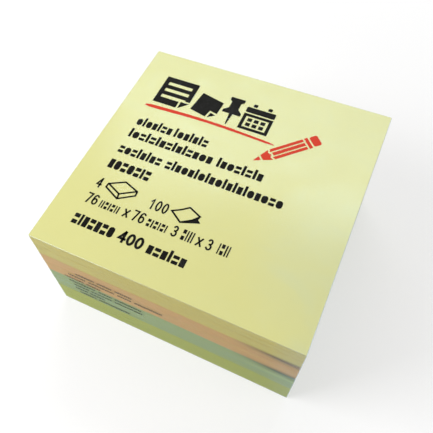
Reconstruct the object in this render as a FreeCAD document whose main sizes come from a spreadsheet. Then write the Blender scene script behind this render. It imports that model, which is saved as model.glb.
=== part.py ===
"""A pack of four pads of sticky notes, stacked square and sealed in one sheet of clear film.

Millimetres, +Z up. The origin is the centre of the face the pack rests on. +X runs to the right along the
free edges of the notes, and +Y runs back towards their glued edges.

From the bottom up, the stack is a green, a blue, a pink and a yellow pad. A pad is a block of loose-edged
notes on a backing sheet, which covers the adhesive of the last note. The free front right corners of the
three lower blocks have sunk a little, so that a dark gap opens there under the pad above.

The film runs round the stack from front to back and laps over itself in a seam along the middle of the
back. Past the left and right ends of the stack it is folded like an envelope: the front and back tucks
go in first, then the bottom flap comes up and the top flap comes down over it.
"""

import FreeCAD, Part
import os

import Sketcher

COLOURS = ["green", "blue", "pink", "yellow"]  # from the bottom of the stack to its top

SIZES = {
    "note_width": (76.0, "side of a note along its free edge"),
    "note_depth": (76.0, "side of a note from the free edge to the glued edge"),
    "sheet_gauge": (0.1, "thickness of one note"),
    "sheet_count": (100, "notes in one pad"),
    "backing_gauge": (0.3, "thickness of a backing sheet"),
    "film_gauge": (0.05, "thickness of the clear film"),
    "film_slack": (0.15, "gap between the sides of the stack and the film"),
    "flap_overlap": (6.0, "how far the top end flap comes down over the bottom one"),
    "seam_overlap": (8.0, "width of the lap seam along the back"),
    "corner_dip": (0.6, "how far the front right corner of a lower block has sunk"),
    "dip_width": (18.0, "reach of that sunk corner along the free edge"),
    "dip_depth": (26.0, "reach of that sunk corner along the right side"),
}

# Sizes that follow from the sheet, written as the expressions that the features are bound to.
BLOCK = "(sizes.sheet_count * sizes.sheet_gauge)"
PAD = f"({BLOCK} + sizes.backing_gauge)"
STACK = f"({len(COLOURS)} * {PAD})"
OUTER_RADIUS = "(sizes.film_slack + sizes.film_gauge)"
OUTER_WIDTH = f"(sizes.note_width + 2 * {OUTER_RADIUS})"
OUTER_DEPTH = f"(sizes.note_depth + 2 * {OUTER_RADIUS})"
OUTER_HEIGHT = f"({STACK} + 2 * sizes.film_gauge)"
FLAP_REACH = f"(({OUTER_HEIGHT} + sizes.flap_overlap) / 2)"

doc = FreeCAD.newDocument("sticky_note_pack")
sizes = doc.addObject("Spreadsheet::Sheet", "sizes")


def fill_sheet():
    """Writes each driving dimension with its alias and what it measures."""
    for row, (alias, (value, meaning)) in enumerate(SIZES.items(), start=1):
        sizes.set(f"A{row}", alias)
        sizes.set(f"B{row}", str(value))
        sizes.setAlias(f"B{row}", alias)
        sizes.set(f"C{row}", meaning)
    doc.recompute()


def new_body(name):
    """An empty body whose label is the name of its sub-part."""
    body = doc.addObject("PartDesign::Body", name)
    body.Label = name
    return body


def origin_plane(body, role):
    """One of the body's own three planes."""
    return next(f for f in body.Origin.OriginFeatures if f.Role == role)


def bind(feature, **expressions):
    """Binds properties of a feature to expressions over the sheet. A double underscore stands for a dot."""
    for path, expression in expressions.items():
        feature.setExpression(path.replace("__", "."), expression)


def new_sketch(body, name, role, offset="0"):
    """A sketch on one of the body's planes, moved along the plane's normal by an expression."""
    sketch = body.newObject("Sketcher::SketchObject", name)
    sketch.AttachmentSupport = [(origin_plane(body, role), "")]
    sketch.MapMode = "FlatFace"
    bind(sketch, AttachmentOffset__Base__z=offset)
    return sketch


def named_size(sketch, name, constraint, expression):
    """Adds a dimension to a sketch and binds it to an expression."""
    index = sketch.addConstraint(constraint)
    sketch.renameConstraint(index, name)
    sketch.setExpression(f"Constraints.{name}", expression)


def trapezium(sketch, lower_half, upper_half, low, high):
    """Draws a closed shape of four lines, even about the sketch's upright axis.

    lower_half and upper_half are half its width at the heights low and high. All four are expressions.
    """
    corners = [(-2, 1), (2, 1), (1, 3), (-1, 3)]
    for start, end in zip(corners, corners[1:] + corners[:1]):
        first, second = FreeCAD.Vector(*start, 0), FreeCAD.Vector(*end, 0)
        sketch.addGeometry(Part.LineSegment(first, second))
    for line in range(4):
        sketch.addConstraint(Sketcher.Constraint("Coincident", line, 2, (line + 1) % 4, 1))
    sketch.addConstraint(Sketcher.Constraint("Symmetric", 0, 1, 0, 2, -2))
    sketch.addConstraint(Sketcher.Constraint("Symmetric", 2, 1, 2, 2, -2))
    named_size(sketch, "lower_half", Sketcher.Constraint("DistanceX", -1, 1, 0, 2, 2), lower_half)
    named_size(sketch, "upper_half", Sketcher.Constraint("DistanceX", -1, 1, 2, 1, 1), upper_half)
    named_size(sketch, "low", Sketcher.Constraint("DistanceY", -1, 1, 0, 2, 1), low)
    named_size(sketch, "high", Sketcher.Constraint("DistanceY", -1, 1, 2, 1, 3), high)


def rectangle(sketch, width, height):
    """Draws a rectangle about the sketch's origin. width and height are expressions."""
    corners = [(-1, -1), (1, -1), (1, 1), (-1, 1)]
    for start, end in zip(corners, corners[1:] + corners[:1]):
        first, second = FreeCAD.Vector(*start, 0), FreeCAD.Vector(*end, 0)
        sketch.addGeometry(Part.LineSegment(first, second))
    for line, way in enumerate(["Horizontal", "Vertical", "Horizontal", "Vertical"]):
        sketch.addConstraint(Sketcher.Constraint("Coincident", line, 2, (line + 1) % 4, 1))
        sketch.addConstraint(Sketcher.Constraint(way, line))
    sketch.addConstraint(Sketcher.Constraint("Symmetric", 0, 1, 2, 1, -1, 1))
    named_size(sketch, "width", Sketcher.Constraint("DistanceX", 0, 1, 0, 2, 2), width)
    named_size(sketch, "height", Sketcher.Constraint("DistanceY", 1, 1, 1, 2, 2), height)


def pad_sketch(body, sketch, length, backwards=False):
    """Extrudes a sketch by an expression, along its plane's normal or against it."""
    pad = body.newObject("PartDesign::Pad", f"{sketch.Name}_pad")
    pad.Profile = sketch
    pad.Reversed = backwards
    bind(pad, Length=length)
    sketch.Visibility = False
    return pad


def round_edges(body, base, name, edges, radius):
    """Rounds the listed edges of a feature's shape by an expression."""
    fillet = body.newObject("PartDesign::Fillet", name)
    fillet.Base = (base, edges)
    bind(fillet, Radius=radius)
    return fillet


def flat_slab(name, thickness, bottom):
    """A body of the notes' outline: its thickness and the height of its underside are expressions."""
    body = new_body(name)
    outline = new_sketch(body, f"{name}_outline", "XY_Plane")
    rectangle(outline, "sizes.note_width", "sizes.note_depth")
    pad_sketch(body, outline, thickness)
    bind(body, Placement__Base__z=bottom)
    return body


def pin_to_corner(sketch):
    """Fixes the first point drawn in a sketch to the front right corner of the notes."""
    named_size(sketch, "right", Sketcher.Constraint("DistanceX", -1, 1, 0, 1, 2), "sizes.note_width / 2")
    named_size(sketch, "front", Sketcher.Constraint("DistanceY", 0, 1, -1, 1, 2), "sizes.note_depth / 2")


def sink_corner(body):
    """Takes the shallow wedge from the top of a block where its free front right corner has sunk.

    It is a loft from a triangle in the block's top face down to a point on the corner's upright edge.
    """
    name = body.Name
    top = new_sketch(body, f"{name}_dip_outline", "XY_Plane", BLOCK)
    corners = [FreeCAD.Vector(2, -2, 0), FreeCAD.Vector(2, 1, 0), FreeCAD.Vector(-1, -2, 0)]
    for start, end in zip(corners, corners[1:] + corners[:1]):
        top.addGeometry(Part.LineSegment(start, end))
    for line in range(3):
        top.addConstraint(Sketcher.Constraint("Coincident", line, 2, (line + 1) % 3, 1))
    top.addConstraint(Sketcher.Constraint("Vertical", 0))
    top.addConstraint(Sketcher.Constraint("Horizontal", 2))
    pin_to_corner(top)
    named_size(top, "width", Sketcher.Constraint("DistanceX", 2, 1, 2, 2, 3), "sizes.dip_width")
    named_size(top, "depth", Sketcher.Constraint("DistanceY", 0, 1, 0, 2, 3), "sizes.dip_depth")

    bottom = new_sketch(body, f"{name}_dip_point", "XY_Plane", f"{BLOCK} - sizes.corner_dip")
    bottom.addGeometry(Part.Point(FreeCAD.Vector(2, -2, 0)))
    pin_to_corner(bottom)

    dip = body.newObject("PartDesign::SubtractiveLoft", f"{name}_dip")
    dip.Profile = top
    dip.Sections = [(bottom, ["Vertex1"])]
    dip.Ruled = True
    top.Visibility = bottom.Visibility = False


def make_pad(level, colour):
    """One pad of the stack: its backing sheet and the block of notes on it."""
    bottom = f"sizes.film_gauge + {level} * {PAD}"
    backing = flat_slab(f"{colour}_backing_sheet", "sizes.backing_gauge", bottom)
    block = flat_slab(f"{colour}_note_block", BLOCK, f"{bottom} + sizes.backing_gauge")
    if level < len(COLOURS) - 1:
        sink_corner(block)
    return [backing, block]


def edges_of_wall(shape, inner):
    """Names the edges on the inner side of a thin closed wall, or those on its outer side."""
    core = shape.BoundBox
    core.enlarge(-sizes.film_gauge / 2)
    names = []
    for number, edge in enumerate(shape.Edges, start=1):
        middle = edge.valueAt((edge.FirstParameter + edge.LastParameter) / 2)
        if core.isInside(middle) == inner:
            names.append(f"Edge{number}")
    return names


def make_shell(body):
    """The film that lies against the stack: a thin closed box, bent round the stack's edges."""
    outline = new_sketch(body, "film_outline", "XY_Plane")
    rectangle(outline, OUTER_WIDTH, OUTER_DEPTH)
    pad_sketch(body, outline, OUTER_HEIGHT)
    cavity = body.newObject("PartDesign::SubtractiveBox", "film_cavity")
    cavity.AttachmentSupport = [(origin_plane(body, "XY_Plane"), "")]
    cavity.MapMode = "FlatFace"
    bind(
        cavity,
        Length="sizes.note_width + 2 * sizes.film_slack",
        Width="sizes.note_depth + 2 * sizes.film_slack",
        Height=STACK,
        AttachmentOffset__Base__x="-sizes.note_width / 2 - sizes.film_slack",
        AttachmentOffset__Base__y="-sizes.note_depth / 2 - sizes.film_slack",
        AttachmentOffset__Base__z="sizes.film_gauge",
    )
    doc.recompute()
    inner_edges = edges_of_wall(cavity.Shape, inner=True)
    inner_bends = round_edges(body, cavity, "film_inner_bends", inner_edges, "sizes.film_slack")
    doc.recompute()
    outer_edges = edges_of_wall(inner_bends.Shape, inner=False)
    round_edges(body, inner_bends, "film_outer_bends", outer_edges, OUTER_RADIUS)
    doc.recompute()


def make_end_folds(body):
    """The envelope folds at the right end, mirrored to the left end."""
    half_depth = f"({OUTER_DEPTH} / 2)"
    tuck_edge = f"({half_depth} - {FLAP_REACH})"
    low, high = OUTER_RADIUS, f"({OUTER_HEIGHT} - {OUTER_RADIUS})"
    flap_low, flap_high = f"({OUTER_HEIGHT} - {FLAP_REACH})", FLAP_REACH
    step = f"({flap_high} + sizes.film_gauge)"
    end = f"({OUTER_WIDTH} / 2)"

    # Between the front and back tucks, only the flaps close the end.
    gap = new_sketch(body, "tuck_gap", "YZ_Plane", end)
    trapezium(gap, tuck_edge, tuck_edge, low, high)
    window = body.newObject("PartDesign::Pocket", "tuck_gap_pocket")
    window.Profile = gap
    bind(window, Length="sizes.film_gauge")
    gap.Visibility = False

    # Each flap narrows at 45 degrees from its fold line, where it is as wide as the end.
    layers = {
        "bottom_flap": (low, flap_high, f"{half_depth} - {low}", tuck_edge, end),
        "top_flap": (
            flap_high,
            high,
            f"{half_depth} - {OUTER_HEIGHT} + {flap_high}",
            f"{half_depth} - {low}",
            end,
        ),
        "top_flap_lap": (
            flap_low,
            step,
            tuck_edge,
            f"{half_depth} - {OUTER_HEIGHT} + {step}",
            f"{end} + sizes.film_gauge",
        ),
    }
    folds = [window]
    for name, (bottom, top, lower_half, upper_half, offset) in layers.items():
        sketch = new_sketch(body, name, "YZ_Plane", offset)
        trapezium(sketch, lower_half, upper_half, bottom, top)
        folds.append(pad_sketch(body, sketch, "sizes.film_gauge"))
        doc.recompute()
    both_ends = body.newObject("PartDesign::Mirrored", "left_end_folds")
    both_ends.Originals = folds
    both_ends.MirrorPlane = (origin_plane(body, "YZ_Plane"), [""])
    body.Tip = both_ends
    doc.recompute()


def make_back_seam(body):
    """The second layer of film where the wrap laps over itself along the back."""
    seam = new_sketch(body, "back_seam", "XZ_Plane", f"-{OUTER_DEPTH} / 2")
    half_length = f"sizes.note_width / 2 + sizes.film_slack"
    middle = f"{OUTER_HEIGHT} / 2"
    low, high = f"{middle} - sizes.seam_overlap / 2", f"{middle} + sizes.seam_overlap / 2"
    trapezium(seam, half_length, half_length, low, high)
    body.Tip = pad_sketch(body, seam, "sizes.film_gauge", backwards=True)
    doc.recompute()


def make_film():
    """The clear film, one folded sheet."""
    body = new_body("film_wrap")
    make_shell(body)
    make_end_folds(body)
    make_back_seam(body)
    return body


def check_and_write(parts):
    """Stops if any object failed or any sub-part isn't a sound solid, then writes each to its file."""
    doc.recompute()
    for item in doc.Objects:
        if {"Invalid", "Error"} & set(item.State):
            raise RuntimeError(f"{item.Label} failed: {item.State}")
    for part in parts:
        shape = part.Shape
        if shape.isNull() or not shape.isValid() or len(shape.Solids) != 1:
            raise RuntimeError(f"{part.Label} isn't one sound solid")
    os.makedirs("parts", exist_ok=True)
    for part in parts:
        part.Shape.exportStep(f"parts/{part.Label}.step")
        box = part.Shape.BoundBox
        extent = f"{box.XLength:.2f} x {box.YLength:.2f} x {box.ZLength:.2f}"
        print(f"{part.Label}: {extent} mm, {part.Shape.Volume:.1f} mm3")


fill_sheet()
pieces = [make_film()]
for level, colour in enumerate(COLOURS):
    pieces += make_pad(level, colour)
check_and_write(pieces)
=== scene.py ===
import math
import random

import bmesh
import bpy
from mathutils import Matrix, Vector


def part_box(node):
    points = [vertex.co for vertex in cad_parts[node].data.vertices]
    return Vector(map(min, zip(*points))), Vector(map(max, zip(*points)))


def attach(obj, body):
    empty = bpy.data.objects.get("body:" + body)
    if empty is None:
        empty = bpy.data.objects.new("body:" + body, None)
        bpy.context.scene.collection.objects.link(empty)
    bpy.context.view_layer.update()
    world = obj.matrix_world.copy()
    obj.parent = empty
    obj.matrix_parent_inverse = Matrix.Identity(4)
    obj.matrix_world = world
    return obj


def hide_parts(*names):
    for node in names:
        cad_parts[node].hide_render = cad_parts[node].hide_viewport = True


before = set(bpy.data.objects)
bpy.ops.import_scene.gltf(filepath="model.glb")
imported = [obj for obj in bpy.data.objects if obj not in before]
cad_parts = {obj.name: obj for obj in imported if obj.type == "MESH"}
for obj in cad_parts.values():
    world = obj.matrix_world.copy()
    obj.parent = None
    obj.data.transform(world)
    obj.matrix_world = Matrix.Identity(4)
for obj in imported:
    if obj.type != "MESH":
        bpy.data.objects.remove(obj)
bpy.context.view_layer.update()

# Note blocks
# A pad is a hundred square notes of thin pastel paper, cut flush together and held along the back by a band
# of adhesive on each note, over a backing sheet of its own colour. The other edges are free and wave a little,
# and the front right corners have loosened and sunk.

MM = 0.001
SHEETS_IN_PAD = 100
SHEET_PITCH = 0.1 * MM
PAPER_SHARE = 0.88  # of the pitch from note to note: the rest is air
BACKING_SHARE = 0.97  # of the backing sheet's room
EDGE_CUTS = 19  # along each side of a sheet
CUT_UNEVENNESS = 0.02 * MM
WAVE_HEIGHT = 0.16 * MM  # at half the stack's height
WAVES = [  # radians per millimetre along x and y, start in radians, and share of the height
    (1 / 8.5, 0, 0.5, 1.0),
    (1 / 4.6, 0, 2.0, 0.7),
    (-1 / 30, 1 / 9, 0.0, 1.0),
]
LOOSE_WIDTH = 18 * MM  # of the loosened corner, along x
LOOSE_REACH = 26 * MM  # and along y
SINK_POWER = 1.7  # the nearer to the corner, the steeper the notes sink
PAINTED_SHADE_GROWTH = 1.4  # how soon the painted shade lines below reach their full strength
PAINTED_CORNER_SHADE_AND_HIGHLIGHT = [  # height, half width and darkness of the shade painted into the gaps and between sheet edges at the loosened corner; a negative darkness paints a highlight
    (30.5 * MM, 2.1 * MM, 0.7),
    (20.5 * MM, 2.3 * MM, 0.7),
    (28.4 * MM, 0.25 * MM, 0.45),
    (27.1 * MM, 0.2 * MM, 0.35),
    (18.3 * MM, 0.2 * MM, 0.4),
    # A painted highlight: a pale streak across the blue notes' edges near the loosened corner.
    (16.6 * MM, 0.8 * MM, -0.3),
]
notes_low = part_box("green_note_block")[0]
notes_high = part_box("yellow_note_block")[1]


class Signal:
    """A socket of a node tree. Python's own operators on it add Math nodes."""

    def __init__(self, finish, socket):
        self.finish = finish
        self.socket = socket

    def math(self, operation, *others):
        values = dict(enumerate([self, *others]))
        return self.finish.node("ShaderNodeMath", {"operation": operation}, values)

    def __add__(self, other):
        return self.math("ADD", other)

    def __radd__(self, other):
        return self.math("ADD", other)

    def __sub__(self, other):
        return self.math("SUBTRACT", other)

    def __rsub__(self, other):
        return self.finish.node("ShaderNodeMath", {"operation": "SUBTRACT"}, {0: other, 1: self})

    def __mul__(self, other):
        return self.math("MULTIPLY", other)

    def __rmul__(self, other):
        return self.math("MULTIPLY", other)

    def __truediv__(self, other):
        return self.math("DIVIDE", other)

    def __pow__(self, other):
        return self.math("POWER", other)

    def __abs__(self):
        return self.math("ABSOLUTE")

    def floor(self):
        return self.math("FLOOR")

    def most(self, other):
        return self.math("MINIMUM", other)

    def least(self, other):
        return self.math("MAXIMUM", other)


class Finish:
    """A material, or the light of the studio, built from nodes laid one after another."""

    def __init__(self, name, owner=None):
        self.owner = owner or bpy.data.materials.new(name)
        self.owner.use_nodes = True
        self.tree = self.owner.node_tree
        self.tree.nodes.clear()

    def node(self, kind, settings=None, inputs=None, output=0):
        """Adds a node: its settings first, then the values or links of its sockets. Returns one output."""
        node = self.tree.nodes.new(kind)
        for key, value in (settings or {}).items():
            setattr(node, key, value)
        for key, value in (inputs or {}).items():
            if isinstance(value, Signal):
                self.tree.links.new(value.socket, node.inputs[key])
            else:
                node.inputs[key].default_value = value
        return Signal(self, node.outputs[output]) if node.outputs else None

    def mix_colour(self, factor, first, second):
        """Blends two plain colours."""
        colours = {6: (*first, 1), 7: (*second, 1)}
        return self.node("ShaderNodeMix", {"data_type": "RGBA"}, {"Factor": factor, **colours}, output=2)

    def place(self):
        """The object's own coordinates, in metres."""
        return self.node("ShaderNodeTexCoord", output="Object")

    def along(self, vector, axis):
        """One part of a vector: X, Y or Z."""
        return self.node("ShaderNodeSeparateXYZ", None, {"Vector": vector}, output=axis)

    def stretched(self, place, scale):
        """The coordinates multiplied by three scales, so that a pattern is longer one way than another."""
        return self.node("ShaderNodeVectorMath", {"operation": "MULTIPLY"}, {0: place, 1: scale})

    def noise(self, place, scale, detail=2.0, roughness=0.5, distortion=0.0):
        values = {"Scale": scale, "Detail": detail, "Roughness": roughness, "Distortion": distortion}
        return self.node("ShaderNodeTexNoise", None, {"Vector": place, **values})

    def surface(self, shader):
        kind = "ShaderNodeOutputWorld" if isinstance(self.owner, bpy.types.World) else "ShaderNodeOutputMaterial"
        self.node(kind, None, {"Surface": shader})


def paper_finish(name, face_colour, edge_colour):
    """Uncoated paper: fibres and faint clouds on its face, a slightly different tone for each cut edge, and painted
    shade and a painted highlight near the loosened corner.
    """
    paper = Finish(name)
    place = paper.place()
    x, y, z = (paper.along(place, axis) for axis in "XYZ")
    fibres = paper.noise(place, 2400, detail=4, roughness=0.65)
    clouds = paper.noise(place, 55, detail=3)
    sheet = (z / SHEET_PITCH).floor()
    sheet_tone = paper.node("ShaderNodeTexWhiteNoise", {"noise_dimensions": "1D"}, {"W": sheet})
    bands = paper.noise(paper.stretched(place, (0, 0, 1700)), 1, detail=3, roughness=0.6)
    knife_marks = paper.noise(paper.stretched(place, (1500, 1500, 70)), 1, detail=2)
    face = abs(paper.along(paper.node("ShaderNodeNewGeometry", output="Normal"), "Z"))
    colour = paper.mix_colour(face, edge_colour, face_colour)
    lines = (sheet_tone - 0.5) * 0.12 + (bands - 0.5) * clouds * 0.7 + (knife_marks - 0.5) * 0.06
    tone = 1 + lines * (1 - face) + (clouds - 0.5) * 0.05 + (fibres - 0.5) * 0.09
    # Painted shade: the tone is darkened along the gaps between pads and sheets near the loosened corner, and
    # lightened along one painted highlight streak.
    loose = (1 - (notes_high[0] - x) / LOOSE_WIDTH - (y - notes_low[1]) / LOOSE_REACH).least(0)
    for line_height, half_width, darkness in PAINTED_CORNER_SHADE_AND_HIGHLIGHT:
        line = (1 - abs(z + (clouds - 0.5) * MM - line_height) / half_width).least(0)
        tone = tone * (1 - line * (loose * PAINTED_SHADE_GROWTH).most(1) * darkness)
    shade = paper.node("ShaderNodeVectorMath", {"operation": "SCALE"}, {0: colour, "Scale": tone})
    grain = paper.node("ShaderNodeBump", None, {"Strength": 0.15, "Distance": 0.02 * MM, "Height": fibres})
    roughness = 0.82 + (fibres - 0.5) * 0.2
    values = {"Base Color": shade, "Roughness": roughness, "Normal": grain, "Specular IOR Level": 0.3}
    paper.surface(paper.node("ShaderNodeBsdfPrincipled", None, values))
    return paper.owner


def select_only(piece):
    """Leaves one object selected and active."""
    bpy.ops.object.select_all(action="DESELECT")
    piece.select_set(True)
    bpy.context.view_layer.objects.active = piece


def lay_sheet(name, node, thickness):
    """Adds one sheet at the foot of a node: a square of short edges, filled and given its thickness."""
    low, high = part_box(node)
    bpy.ops.object.select_all(action="DESELECT")
    middle = ((low[0] + high[0]) / 2, (low[1] + high[1]) / 2, low[2])
    bpy.ops.mesh.primitive_plane_add(size=high[0] - low[0], location=middle)
    sheet = bpy.context.object
    sheet.name = sheet.data.name = name
    bpy.ops.object.transform_apply(location=True, rotation=True, scale=True)
    bpy.ops.object.mode_set(mode="EDIT")
    bpy.ops.mesh.select_all(action="SELECT")
    bpy.ops.mesh.delete(type="ONLY_FACE")
    bpy.ops.mesh.select_all(action="SELECT")
    bpy.ops.mesh.subdivide(number_cuts=EDGE_CUTS)
    bpy.ops.mesh.edge_face_add()
    bpy.ops.mesh.extrude_region_move(TRANSFORM_OT_translate={"value": (0, 0, thickness)})
    bpy.ops.mesh.select_all(action="SELECT")
    bpy.ops.mesh.normals_make_consistent(inside=False)
    bpy.ops.mesh.select_mode(type="FACE")
    bpy.ops.mesh.select_all(action="DESELECT")
    bpy.ops.object.mode_set(mode="OBJECT")
    for face in sheet.data.polygons:
        face.select = abs(face.normal.z) > 0.5
    bpy.ops.object.mode_set(mode="EDIT")
    bpy.ops.mesh.poke()
    bpy.ops.mesh.select_mode(type="VERT")
    bpy.ops.object.mode_set(mode="OBJECT")
    return sheet


def repeat_upwards(sheet, count, pitch):
    """Stacks copies of a sheet into one block."""
    array = sheet.modifiers.new("stack", "ARRAY")
    array.count = count
    array.use_relative_offset = False
    array.use_constant_offset = True
    array.constant_offset_displace = (0, 0, pitch)
    select_only(sheet)
    bpy.ops.object.modifier_apply(modifier=array.name)


def looseness(x, y):
    """How near a point is to the loosened corner: 1 at the corner, 0 where the notes still hold together."""
    return max(0.0, 1 - (notes_high[0] - x) / LOOSE_WIDTH - (y - notes_low[1]) / LOOSE_REACH)


def wave(piece):
    """Lets the sheets rise and fall a little, all of them together and most at half the stack's height."""
    for vertex in piece.data.vertices:
        x, y, z = vertex.co
        swell = sum(share * math.sin(x / MM * along + y / MM * back + start) for along, back, start, share in WAVES)
        vertex.co.z += WAVE_HEIGHT * swell * math.sin(math.pi * z / notes_high[2]) * (1 - looseness(x, y))


def loosen(block, node, seed, sink):
    """Moves each note a hair within its block, and sinks the notes' front right corners by up to a depth."""
    low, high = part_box(node)
    pitch = (high[2] - low[2]) / SHEETS_IN_PAD
    chance = random.Random(seed)
    shifts = [(chance.gauss(0, 1), chance.gauss(0, 1), chance.uniform(0, 9)) for _ in range(SHEETS_IN_PAD)]
    limit = 3 * CUT_UNEVENNESS
    for vertex in block.data.vertices:
        x, y, z = vertex.co
        number = min(int((z - low[2]) / pitch + 0.02), SHEETS_IN_PAD - 1)
        across, along, phase = shifts[number]
        free = (high[1] - y) / (high[1] - low[1])
        wave = math.sin(x / (9 * MM) + phase) + math.sin(y / (7 * MM) + 2 * phase)
        vertex.co.x += max(-limit, min(limit, CUT_UNEVENNESS * (across + 0.4 * wave) * (0.3 + 0.7 * free)))
        vertex.co.y += max(-limit, min(limit, CUT_UNEVENNESS * (along + 0.4 * wave)))
        vertex.co.z -= sink * looseness(x, y) ** SINK_POWER * number / SHEETS_IN_PAD


def make_pad(colour, seed, face_colour, edge_colour, backing_colour, sink):
    """One pad: its backing sheet and its block of notes."""
    block_node = f"{colour}_note_block"
    low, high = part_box(block_node)
    pitch = (high[2] - low[2]) / SHEETS_IN_PAD
    block = lay_sheet(f"{colour}_notes", block_node, pitch * PAPER_SHARE)
    repeat_upwards(block, SHEETS_IN_PAD, pitch)
    loosen(block, block_node, seed, sink)
    wave(block)
    block.data.materials.append(paper_finish(f"{colour} note paper", face_colour, edge_colour))
    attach(block, "root")
    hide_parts(block_node)

    backing_node = f"{colour}_backing_sheet"
    low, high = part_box(backing_node)
    backing = lay_sheet(f"{colour}_backing", backing_node, (high[2] - low[2]) * BACKING_SHARE)
    wave(backing)
    backing.data.materials.append(paper_finish(f"{colour} backing paper", backing_colour, backing_colour))
    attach(backing, "root")
    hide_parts(backing_node)


make_pad("green", 11, (0.50, 0.57, 0.11), (0.475, 0.48, 0.066), (0.47, 0.47, 0.072), sink=0.3 * MM)
make_pad("blue", 12, (0.38, 0.52, 0.36), (0.39, 0.445, 0.118), (0.38, 0.435, 0.118), sink=1.1 * MM)
make_pad("pink", 13, (0.76, 0.44, 0.22), (0.67, 0.435, 0.12), (0.645, 0.425, 0.12), sink=1.1 * MM)
make_pad("yellow", 14, (0.74, 0.70, 0.26), (0.67, 0.53, 0.113), (0.65, 0.50, 0.113), sink=0)

# Film wrap
# The pads are wrapped in one sheet of clear, glossy film, drawn tight and bent sharply round their edges. Past
# both ends it is folded like an envelope, the top flap down over the bottom one, and a hot ribbed bar has welded
# its lap along the back. It stands off the paper here and there, most near the right end.

BEND = 0.3 * MM
SLOPE = 0.3 * MM  # where one layer rises over another
FLAP_RISE = 0.04 * MM
SEAM_RISE = 0.035 * MM
INK = 0.012 * MM
RIBS = 9000  # radians per metre, which is a rib every 0.7 mm
HAIR = 0.01 * MM  # allowed when points and faces are found by their place
FLAP_OVERLAP = 6 * MM
SEAM_HEIGHT = 8 * MM
SLACK_PLACES = [  # where the film stands off: middle, and reach from it along x and y
    ((38 * MM, -14 * MM), (24 * MM, 27 * MM)),
    ((42 * MM, -44 * MM), (13 * MM, 13 * MM)),
]
LAYER_GLOSS = 0.05  # share of the light that one layer mirrors, seen straight on
GLANCING_GLOSS = 0.2  # and what is added at a glancing angle
wrap_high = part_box("film_wrap")[1]
film_end = wrap_high[0] - 2 * FLAP_RISE - HAIR
film_side = wrap_high[1] - 0.065 * MM
film_top = wrap_high[2] - INK - 0.003 * MM
flap_low = (wrap_high[2] - FLAP_OVERLAP) / 2
flap_high = (wrap_high[2] + FLAP_OVERLAP) / 2
seam_middle = wrap_high[2] / 2


def film_finish(name, layers=1, ribs=0.0, roughness=0.16):
    """Clear film: nearly all light passes and the rest is mirrored, more of it where the film stands off."""
    film = Finish(name)
    place = film.place()
    x, y, z = (film.along(place, axis) for axis in "XYZ")
    slack = film.noise(film.stretched(place, (30, 55, 55)), 1, detail=1, distortion=0.4)
    pulls = film.noise(film.stretched(place, (120, 120, 45)), 1, detail=2, distortion=0.3)
    height = slack * 1.2 + pulls * (abs(x) / film_end) ** 5 * 0.45 * layers
    if ribs:
        height = height + (z * RIBS).math("SINE") * ribs
    creases = film.node("ShaderNodeBump", None, {"Strength": 0.5, "Distance": 0.12 * MM, "Height": height})
    facing = film.node("ShaderNodeLayerWeight", None, {"Blend": 0.5, "Normal": creases}, output="Facing")
    patches = film.noise(film.stretched(place, (60, 110, 110)), 1, detail=3, distortion=1.5)
    near = sum(
        (1 - ((x - middle[0]) / reach[0]) ** 2 - ((y - middle[1]) / reach[1]) ** 2).least(0)
        for middle, reach in SLACK_PLACES
    )
    standing_off = near * (0.065 + ((patches - 0.42) * 0.12).least(0)) + (patches - 0.5).least(0) * 0.06
    mirrored = (LAYER_GLOSS * layers + facing**5 * GLANCING_GLOSS + standing_off).most(1)
    clear = film.node("ShaderNodeBsdfTransparent", None, {"Color": (0.985, 0.99, 0.985, 1)})
    values = {
        "Base Color": (0.63, 0.84, 0.97, 1),
        "Metallic": 1.0,
        "Roughness": roughness + pulls * 0.1,
        "Normal": creases,
    }
    gloss = film.node("ShaderNodeBsdfPrincipled", None, values)
    film.surface(film.node("ShaderNodeMixShader", None, {0: mirrored, 1: clear, 2: gloss}))
    return film.owner


def cut(piece, on_face, point, normal):
    """Cuts the faces of one side of a piece along a plane."""
    select_only(piece)
    bpy.ops.object.mode_set(mode="EDIT")
    bpy.ops.mesh.select_mode(type="FACE")
    bpy.ops.mesh.select_all(action="DESELECT")
    bpy.ops.object.mode_set(mode="OBJECT")
    for face in piece.data.polygons:
        face.select = on_face(face.center)
    bpy.ops.object.mode_set(mode="EDIT")
    bpy.ops.mesh.bisect(plane_co=point, plane_no=normal)
    bpy.ops.object.mode_set(mode="OBJECT")


def lift(piece, test, shift):
    """Moves the points of a piece that pass a test."""
    select_only(piece)
    bpy.ops.object.mode_set(mode="EDIT")
    bpy.ops.mesh.select_mode(type="VERT")
    bpy.ops.mesh.select_all(action="DESELECT")
    bpy.ops.object.mode_set(mode="OBJECT")
    for vertex in piece.data.vertices:
        vertex.select = test(vertex.co)
    bpy.ops.object.mode_set(mode="EDIT")
    bpy.ops.transform.translate(value=shift)
    bpy.ops.object.mode_set(mode="OBJECT")


def on_end(spot):
    return abs(spot.x) > film_end - HAIR


def on_back(spot):
    return spot.y > film_side - HAIR


def in_flap(spot, margin, depth, reach):
    """A flap starts at its bend and narrows at 45 degrees to its free edge. The margin leaves out its slopes."""
    along = BEND + margin - HAIR < depth < reach - margin + HAIR
    return on_end(spot) and along and abs(spot.y) < film_side - depth - math.sqrt(2) * margin + HAIR


def in_top_flap(spot, margin=0.0):
    return in_flap(spot, margin, film_top - spot.z, film_top - flap_low)


def in_bottom_flap(spot, margin=0.0):
    return in_flap(spot, margin, spot.z, flap_high)


def in_seam(spot, margin=0.0):
    along = abs(spot.x) < film_end - BEND - margin + HAIR
    return on_back(spot) and along and abs(spot.z - seam_middle) < SEAM_HEIGHT / 2 - margin + HAIR


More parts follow.
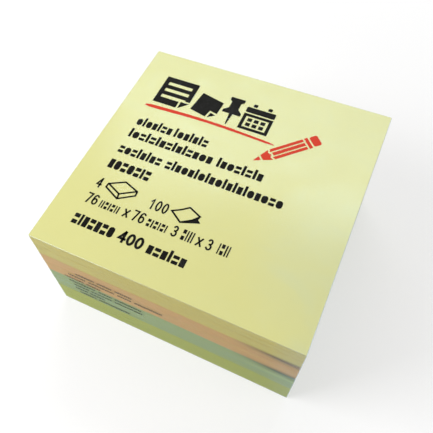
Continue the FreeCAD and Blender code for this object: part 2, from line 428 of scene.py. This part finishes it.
bpy.ops.object.select_all(action="DESELECT")
bpy.ops.mesh.primitive_cube_add(size=1, location=(0, 0, film_top / 2))
wrap = bpy.context.object
wrap.name = wrap.data.name = "clear_wrap"
wrap.scale = (2 * film_end, 2 * film_side, film_top)
bpy.ops.object.transform_apply(location=True, rotation=True, scale=True)
bpy.ops.object.mode_set(mode="EDIT")
bpy.ops.mesh.select_all(action="SELECT")
bpy.ops.mesh.bevel(offset=BEND, segments=4, affect="EDGES")
bpy.ops.object.mode_set(mode="OBJECT")
for level in (BEND + SLOPE, flap_low, flap_low + SLOPE, flap_high - SLOPE, flap_high, film_top - BEND - SLOPE):
    cut(wrap, on_end, (0, 0, level), (0, 0, 1))
for foot, slant in ((0, 1), (film_top, -1)):
    for side in (-1, 1):
        for margin in (0, math.sqrt(2) * SLOPE):
            cut(wrap, on_end, (0, side * (film_side - margin), foot), (0, side, slant))
for side in (-1, 1):
    for margin in (0, SLOPE):
        cut(wrap, on_back, (0, 0, seam_middle + side * (SEAM_HEIGHT / 2 - margin)), (0, 0, 1))
    cut(wrap, on_back, (side * (film_end - BEND - SLOPE), 0, 0), (1, 0, 0))
for side in (-1, 1):
    for in_one_flap in (in_bottom_flap, in_top_flap):
        lift(wrap, lambda spot: spot.x * side > 0 and in_one_flap(spot, SLOPE), (side * FLAP_RISE, 0, 0))
lift(wrap, lambda spot: in_seam(spot, SLOPE), (0, SEAM_RISE, 0))

film_finishes = [
    film_finish("clear film"),
    film_finish("folded film", layers=2),
    film_finish("welded film", layers=2, ribs=0.35),
    film_finish("bent film", layers=3, roughness=0.3),
]
for finish in film_finishes:
    wrap.data.materials.append(finish)
clear, folded, welded, bent = range(len(film_finishes))
for face in wrap.data.polygons:
    if max(abs(part) for part in face.normal) < 0.98:
        face.use_smooth = True
        face.material_index = bent
    elif in_top_flap(face.center) or in_bottom_flap(face.center):
        face.material_index = folded
    elif in_seam(face.center):
        face.material_index = welded
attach(wrap, "root")
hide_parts("film_wrap")

# Print on the top
# The film is printed in opaque black and red ink: a heavy row of stationery signs over a brushed red rule and
# a red pencil, then lines of plain blocks in the place of words, with the numbers and signs for the contents.


def ink_finish(name, colour, speckle):
    """Opaque printing ink: nearly even, with pinholes where it has not covered the film."""
    ink = Finish(name)
    place = ink.place()
    grain = ink.noise(place, 5200, detail=3, roughness=0.7)
    patches = ink.noise(place, 260, detail=2)
    pinholes = ((grain + patches * 0.3 - 0.72) * speckle).least(0).most(1)
    shade = ink.mix_colour(pinholes, colour, [0.2 + 0.7 * part for part in colour])
    bump = ink.node("ShaderNodeBump", None, {"Strength": 0.2, "Distance": 0.01 * MM, "Height": grain})
    values = {
        "Base Color": shade,
        "Roughness": 0.34 + grain * 0.16,
        "Normal": bump,
        "Specular IOR Level": 0.05,
    }
    ink.surface(ink.node("ShaderNodeBsdfPrincipled", None, values))
    return ink.owner


def open_print(name):
    """Starts an empty flat piece, left in edit mode so that shapes can be added to it, in millimetres."""
    bpy.ops.object.select_all(action="DESELECT")
    bpy.ops.mesh.primitive_plane_add(size=1)
    piece = bpy.context.object
    piece.name = piece.data.name = name
    bpy.ops.object.mode_set(mode="EDIT")
    bpy.ops.mesh.select_all(action="SELECT")
    bpy.ops.mesh.delete(type="VERT")
    return piece


def shape(points, rounding=0.0):
    """Adds one flat shape to the open print, with rounded corners. Its points run anticlockwise."""
    bpy.ops.mesh.select_all(action="DESELECT")
    bpy.ops.mesh.primitive_circle_add(vertices=len(points), radius=1, fill_type="NGON")
    mesh = bmesh.from_edit_mesh(bpy.context.edit_object.data)
    drawn = next(face for face in mesh.faces if face.select)
    for vertex, (x, y) in zip(drawn.verts, points):
        vertex.co = (x, y, 0)
    drawn.normal_update()
    bmesh.update_edit_mesh(bpy.context.edit_object.data)
    if rounding:
        bpy.ops.mesh.bevel(offset=rounding, segments=2, affect="VERTICES")


def bar(left, bottom, right, top, rounding=0.0):
    """Adds an upright rectangle to the open print."""
    shape([(left, bottom), (right, bottom), (right, top), (left, top)], rounding)


def outline(points, width):
    """Adds a closed line of one width along the inside of a shape."""
    shape(points)
    bpy.ops.mesh.select_mode(type="FACE")
    bpy.ops.mesh.inset(thickness=width, depth=0)
    bpy.ops.mesh.delete(type="FACE")
    bpy.ops.mesh.select_mode(type="VERT")


MARKS = {"post": 1.0, "thin post": 0.8, "split": 2.1, "dot": 2.3, "block": 1.9}  # widths, in lines


def word(left, right, base, chance, small, tall, line, gap, marks):
    """Fills the place of a word with small plain marks, of which the posts stand tall."""
    kinds = []
    while sum(MARKS[kind] * line + gap for kind in kinds) < right - left:
        kinds.append(chance.choice([kind for kind in marks if kind not in kinds[-1:]]))
    unit = (right - left - gap * (len(kinds) - 1)) / sum(MARKS[kind] for kind in kinds)
    edge = left
    for kind in kinds:
        end = edge + MARKS[kind] * unit
        rounding = 0.14 * line
        if kind.endswith("post"):
            bar(edge, base, end, base + tall, rounding)
        elif kind == "split":
            bar(edge, base, end, base + 0.38 * small, rounding)
            bar(edge, base + 0.62 * small, end, base + small, rounding)
        elif kind == "dot":
            bar(edge, base, end, base + small, 0.42 * min(end - edge, small))
        else:
            bar(edge, base, end, base + small, rounding)
        edge = end + gap


def arc(middle, reach, start, end, steps=8):
    """Points along an ellipse, from one angle to another in degrees."""
    angles = [math.radians(start + (end - start) * step / steps) for step in range(steps + 1)]
    return [(middle[0] + reach[0] * math.cos(a), middle[1] + reach[1] * math.sin(a)) for a in angles]


def stroke(points, width):
    """Adds a line of one width through a row of points to the open print, with square ends."""
    points = [Vector(point) for point in points]
    ways = [(after - before).normalized() for before, after in zip(points, points[1:])]
    points[0] -= ways[0] * width / 2
    points[-1] += ways[-1] * width / 2
    left, right = [], []
    for number, point in enumerate(points):
        before, after = ways[max(number - 1, 0)], ways[min(number, len(ways) - 1)]
        side = Vector((-before.y - after.y, before.x + after.x)).normalized()
        reach = width / 2 / max(0.5, side.dot(Vector((-after.y, after.x))))
        left.append(point + side * reach)
        right.append(point - side * reach)
    shape([tuple(point) for point in right + left[::-1]])


# Each numeral is drawn in a box one wide and one high. The rings close, the other lines have ends.
RINGS = {"0": ((0.5, 0.5), (0.5, 0.5)), "6": ((0.5, 0.3), (0.5, 0.3))}
LINES = {
    "0": [],
    "1": [[(0.22, 0.76), (0.66, 1.0), (0.66, 0.0)]],
    "3": [
        arc((0.46, 0.76), (0.42, 0.24), 150, -90),
        arc((0.46, 0.26), (0.5, 0.26), 90, -152),
    ],
    "4": [[(0.74, 0.0), (0.74, 1.0)], [(0.70, 1.0), (0.0, 0.3), (1.0, 0.3)]],
    "6": [[*arc((0.56, 0.56), (0.56, 0.44), 48, 180), (0.0, 0.3)]],
    "7": [[(0.0, 1.0), (1.0, 1.0), (0.36, 0.0)]],
    "×": [[(0.0, 0.0), (1.0, 0.8)], [(0.0, 0.8), (1.0, 0.0)]],
}


def number(text, left, base, height, width, pitch, line):
    """Adds a plain number, drawn with lines of one width."""
    for place, numeral in enumerate(text):
        x0, y0 = left + pitch * place + line / 2, base + line / 2
        across, up = width - line, height - line
        for points in LINES[numeral]:
            stroke([(x0 + across * x, y0 + up * y) for x, y in points], line)
        if numeral in RINGS:
            (x, y), (wide, high) = RINGS[numeral]
            reach = (across * wide + line / 2, up * high + line / 2)
            outline(arc((x0 + across * x, y0 + up * y), reach, 0, 342, 19), line)


def thicken(piece, finish):
    """Gives a flat print in edit mode the thickness of its ink, and its finish."""
    bpy.ops.mesh.select_all(action="SELECT")
    bpy.ops.mesh.quads_convert_to_tris(ngon_method="BEAUTY")
    bpy.ops.mesh.extrude_region_move(TRANSFORM_OT_translate={"value": (0, 0, INK / MM)})
    bpy.ops.mesh.select_all(action="SELECT")
    bpy.ops.mesh.normals_make_consistent(inside=False)
    bpy.ops.object.mode_set(mode="OBJECT")
    piece.data.materials.append(finish)


def settle(piece, turn, move):
    """Scales a finished print to metres and lays it on its face of the pack, within its mesh."""
    select_only(piece)
    piece.scale = (MM, MM, MM)
    piece.rotation_euler = turn
    piece.location = move
    bpy.ops.object.transform_apply(location=True, rotation=True, scale=True)
    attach(piece, "root")


black_ink = ink_finish("black ink", (0.005, 0.005, 0.004), 1.5)
red_ink = ink_finish("red ink", (0.68, 0.055, 0.028), 3.0)
black = open_print("black_print")

# The heavy row starts with a lined note and a plain note, each with its lower right corner turned up.
bar(-29.7, 17.5, -28.2, 28.7)
bar(-28.2, 26.6, -20.1, 28.7)
bar(-20.1, 20.8, -18.6, 28.7)
bar(-28.2, 23.9, -20.1, 25.4)
bar(-28.2, 21.2, -20.1, 22.7)
bar(-28.2, 17.5, -21.9, 20.0)
shape([(-21.3, 17.5), (-18.6, 20.2), (-21.3, 20.2)])
shape([(-17.5, 18.8), (-12.2, 17.7), (-11.6, 20.4), (-9.2, 19.9), (-8.9, 24.7), (-16.4, 26.3)], 0.15)
shape([(-11.5, 17.6), (-9.4, 19.2), (-11.1, 19.7)])

# Then come a pin and the page of a month.
pin_half = [  # the right half, from its point upwards
    (0.15, 17.3), (0.55, 21.6), (2.9, 21.6), (2.9, 22.6), (1.5, 23.9), (1.5, 26.4), (2.3, 27.0), (2.3, 28.2),
]
pin_middle = -5.4
right_side = [(pin_middle + x, y) for x, y in pin_half]
left_side = [(pin_middle - x, y) for x, y in pin_half[::-1]]
shape(right_side + left_side, 0.08)
bar(-1.75, 24.2, 7.3, 26.3, 0.3)
for left in (-0.2, 4.4):
    bar(left, 26.7, left + 1.3, 27.9, 0.3)
outline([(-1.75, 17.5), (7.3, 17.5), (7.3, 23.7), (-1.75, 23.7)], 1.0)
for left in (0.0, 2.05, 4.1):
    for bottom in (19.0, 20.85):
        bar(left, bottom, left + 1.4, bottom + 1.3)

# The words' places, from left to right on each line.
chance = random.Random(7)
bold = {"tall": 3.4, "line": 0.8, "gap": 0.42, "marks": ["post", "split", "dot", "block"]}
bold_lines = [  # foot of the line, height of the marks, and the words' ends
    (7.0, 2.5, [(-30, -18.6), (-17.6, -7)]),
    (2.0, 2.5, [(-30, -3.4), (-1.75, 11.75)]),
    (-4.2, 2.5, [(-30, -16.4), (-14.8, 19.7)]),
    (-10.2, 3.2, [(-30, -17)]),
    (-30.0, 3.2, [(-29.8, -17.4)]),
    (-30.0, 2.5, [(-7.2, 3.6)]),
]
for base, height, words in bold_lines:
    for left, right in words:
        word(left, right, base, chance, height, **bold)
light = {"line": 0.42, "gap": 0.4, "marks": ["post", "thin post", "split"]}
for height, left, right in [(2.3, -25.4, -19.6), (2.3, -10.9, -5.2), (3.2, -0.85, 2.3), (3.2, 9.3, 12.3)]:
    word(left, right, -22.9, chance, height, height, **light)

# A pad, as a slab seen from above, and a single note with its corner turned up.
SIGN_LINE = 0.48
outline([(-26.9, -16.5), (-21.95, -18.85), (-17.5, -15.9), (-17.6, -14.2), (-22.3, -12.5), (-26.8, -14.95)],
        SIGN_LINE)
stroke([(-26.3, -15.15), (-22.2, -17.0), (-18.2, -14.5)], SIGN_LINE)
stroke([(-22.2, -17.1), (-22.0, -18.3)], SIGN_LINE)
outline([(-6.9, -15.95), (-2.95, -18.6), (-0.1, -16.7), (1.65, -14.65), (-2.4, -12.9), (-4.35, -14.45)], SIGN_LINE)
shape([(-2.75, -18.5), (2.15, -16.6), (1.15, -15.85), (1.4, -15.0), (-0.1, -16.5)], 0.08)

# The numbers give the pads, the sheets in each, a note's size in millimetres and inches, and all the sheets.
thin = {"height": 3.4, "width": 1.65, "pitch": 1.98, "line": 0.46}
thin_numbers = [
    ("4", -29.8, -17.45), ("100", -13.1, -17.85),
    ("76", -30.0, -22.95), ("76", -15.5, -22.95), ("3", -3.75, -23.0), ("3", 6.1, -23.0),
]
for text, left, base in thin_numbers:
    number(text, left, base, **thin)
for left in (-18.15, 3.35):
    number("×", left, -22.9, **{**thin, "height": 3.1})
number("400", -15.85, -30.05, height=3.6, width=2.3, pitch=2.46, line=0.7)
thicken(black, black_ink)
settle(black, (0, 0, 0), (0, 0, film_top))

# The brushed rule: it bows up a little, thins to the right and is blunt at both ends.
red = open_print("red_print")
RULE_LEFT, RULE_LENGTH, RULE_BASE, RULE_BOW, RULE_STEPS = -31, 41.5, 15.35, 0.75, 24
lower, upper = [], []
for step in range(RULE_STEPS + 1):
    share = step / RULE_STEPS
    x = RULE_LEFT + RULE_LENGTH * share
    middle = RULE_BASE + RULE_BOW * math.sin(math.pi * share) ** 1.2
    half = 0.62 - 0.22 * share + 0.05 * chance.uniform(-1, 1)
    half *= min(1, 0.45 + 12 * share, 0.3 + 14 * (1 - share))
    lower.append((x, middle - half))
    upper.append((x, middle + half))
shape(lower + upper[::-1])

PENCIL_TIP = (7.0, 8.0)
PENCIL_TURN = math.radians(44)


def along_pencil(points, rounding=0.0):
    """Adds a shape of the pencil, by distances from its tip along it and to its left."""
    cosine, sine = math.cos(PENCIL_TURN), math.sin(PENCIL_TURN)
    tip_x, tip_y = PENCIL_TIP
    shape([(tip_x + u * cosine - v * sine, tip_y + u * sine + v * cosine) for u, v in points], rounding)


# From the tip: the lead, the cut wood, three long faces of the barrel, the ring and the rubber.
along_pencil([(0, 0), (2.1, -0.75), (2.1, 0.75)], 0.1)
along_pencil([(2.7, -0.95), (5.4, -1.85), (5.0, -0.9), (5.6, 0), (5.0, 0.9), (5.4, 1.85), (2.7, 0.95)])
along_pencil([(6.0, -1.9), (16.0, -1.9), (16.0, -0.95), (5.6, -0.95)])
along_pencil([(6.1, -0.55), (16.0, -0.55), (16.0, 0.55), (6.1, 0.55)])
along_pencil([(5.6, 0.95), (16.0, 0.95), (16.0, 1.9), (6.0, 1.9)])
along_pencil([(16.5, -1.95), (17.5, -1.95), (17.5, 1.95), (16.5, 1.95)])
along_pencil([(18.0, -1.8), (20.4, -1.8), (20.4, 1.8), (18.0, 1.8)], 0.5)
thicken(red, red_ink)
settle(red, (0, 0, 0), (0, 0, film_top))

# Print on the front
# Seven lines of very small black print run over the lower pads on the front of the film, set to the left.

small = open_print("small_print")
tiny = {"small": 0.85, "tall": 1.2, "line": 0.22, "gap": 0.24, "marks": ["post", "block", "split"]}
small_lines = [
    (26.3, [(-27, -21), (-20, -15.5), (-14.3, -9)]),
    (24.0, [(-30, -24.5), (-23.3, -15), (-13.8, -9.6), (-8.4, 0)]),
    (21.6, [(-32, -25.6), (-24.6, -20)]),
    (19.2, [(-31, -22.3), (-21, -16.7), (-15.6, -7)]),
    (16.8, [(-30, -25), (-24, -17.2), (-16, -7)]),
    (14.4, [(-30, -26), (-25, -20)]),
    (12.0, [(-29, -23.5), (-22.4, -12)]),
]
for base, words in small_lines:
    for left, right in words:
        word(left, right, base, chance, **tiny)
thicken(small, black_ink)
settle(small, (math.radians(90), 0, 0), (0, -film_side, 0))

# Floor, light and camera
# The pack stands on a plain white floor that fades into a white room. A soft lamp at the front left lights it, a
# wide one behind gives the film its sheen, and one at the right fills the shadow side.

FLOOR_GLOW = 0.52
FADE_START, FADE_LENGTH, FADE_GLOW = 0.12, 0.6, 0.3
ROOM_LIGHT = 0.36


def seen_share(finish):
    """One where the camera sees a surface, plainly or in gloss or through film, and nothing where light falls."""
    kinds = ("Is Camera Ray", "Is Glossy Ray", "Is Transmission Ray")
    straight, gloss, through = (finish.node("ShaderNodeLightPath", output=kind) for kind in kinds)
    return (straight + gloss + through).most(1)


bpy.ops.object.select_all(action="DESELECT")
bpy.ops.mesh.primitive_plane_add(size=8, location=(0, 0, -0.02 * MM))
floor = bpy.context.object
floor.name = "floor"
matt_white = Finish("floor")
distance = matt_white.node("ShaderNodeVectorMath", {"operation": "LENGTH"}, {0: matt_white.place()}, output="Value")
far = ((distance - FADE_START) / FADE_LENGTH).least(0).most(1)
glow_strength = seen_share(matt_white) * (FLOOR_GLOW + far * FADE_GLOW)
matt = matt_white.node("ShaderNodeBsdfDiffuse", None, {"Color": (0.5, 0.5, 0.5, 1)})
glow = matt_white.node("ShaderNodeEmission", None, {"Color": (1, 1, 1, 1), "Strength": glow_strength})
matt_white.surface(matt_white.node("ShaderNodeAddShader", None, {0: matt, 1: glow}))
floor.data.materials.append(matt_white.owner)

world = bpy.data.worlds.new("studio")
bpy.context.scene.world = world
room = Finish("studio", world)
room_strength = ROOM_LIGHT + seen_share(room) * (1 - ROOM_LIGHT)
room.surface(room.node("ShaderNodeBackground", None, {"Color": (1, 1, 1, 1), "Strength": room_strength}))


def lamp(name, place, wide, high, power):
    """A soft rectangular lamp turned towards the pack."""
    bpy.ops.object.light_add(type="AREA", location=place)
    light = bpy.context.object
    light.name = name
    light.data.shape = "RECTANGLE"
    light.data.size, light.data.size_y = wide, high
    light.data.energy = power
    light.rotation_euler = (Vector((0, 0, 0.03)) - Vector(place)).to_track_quat("-Z", "Y").to_euler()


lamp("key_lamp", (-0.28, -0.18, 0.27), 0.24, 0.24, 1.3)
lamp("back_lamp", (-0.10, 0.39, 0.49), 0.44, 0.20, 1.1)
lamp("side_lamp", (0.52, 0.06, 0.24), 0.4, 0.3, 0.6)

# The camera looks down on the pack's front left corner from close by, a little tilted, as the photo was taken.
bpy.ops.object.camera_add(location=(34.0 * MM, -77.8 * MM, 158.9 * MM))
camera = bpy.context.object
camera.rotation_euler = (math.radians(32.40), math.radians(3.73), math.radians(25.975))
camera.data.sensor_width = 36
camera.data.lens = 43.37
camera.data.shift_x = 0.0890
camera.data.shift_y = -0.0251
camera.data.clip_start = 0.01
bpy.context.scene.camera = camera
bpy.context.scene.view_settings.view_transform = "Standard"
